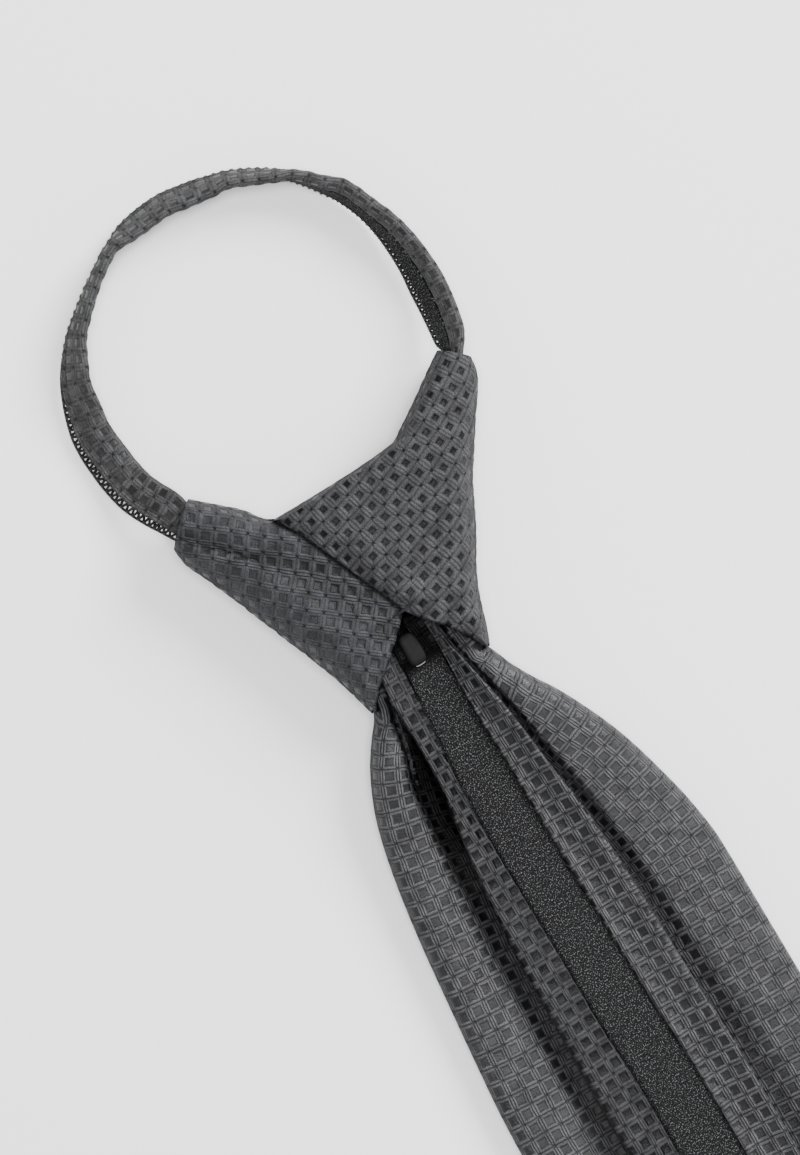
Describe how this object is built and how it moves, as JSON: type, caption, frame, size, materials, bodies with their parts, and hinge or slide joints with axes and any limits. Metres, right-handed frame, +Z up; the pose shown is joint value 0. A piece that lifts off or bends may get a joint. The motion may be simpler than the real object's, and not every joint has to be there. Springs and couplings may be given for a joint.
{
  "type": "zipper tie",
  "caption": "Pre-tied necktie in woven cloth, lying back side up, with a hollow knot, a neck loop edged with zip tape and coil, and a closed zip tail on the blade.",
  "frame": {"origin": "resting point on the underside of the blade's front panel, on the centre line, 200 mm below the knot's lower edge", "axes": "+X to the right of the tie seen from its back, +Y from the tip towards the neck loop, +Z up, out of the tie's back"},
  "size_m": [0.0855, 0.5477, 0.0192],
  "materials": {
    "jacquard_cloth": "charcoal basket-weave jacquard, satin squares in ribs",
    "zip_tape": "woven polyester tape",
    "nylon_coil": "nylon monofilament",
    "bare_metal": "bare edge",
    "dark_cap": "satin dark grey"
  },
  "bodies": {
    "root": {"blade": "jacquard_cloth", "knot_left_wrap": "jacquard_cloth", "knot_right_wrap": "jacquard_cloth", "tail_left_band": "jacquard_cloth", "tail_tape": "zip_tape", "tail_right_band": "jacquard_cloth", "neckband_cloth": "jacquard_cloth", "neckband_tape": "zip_tape", "neckband_coil": "nylon_coil", "slider_plate": "bare_metal", "slider_cap": "dark_cap"}
  },
  "joints": []
}
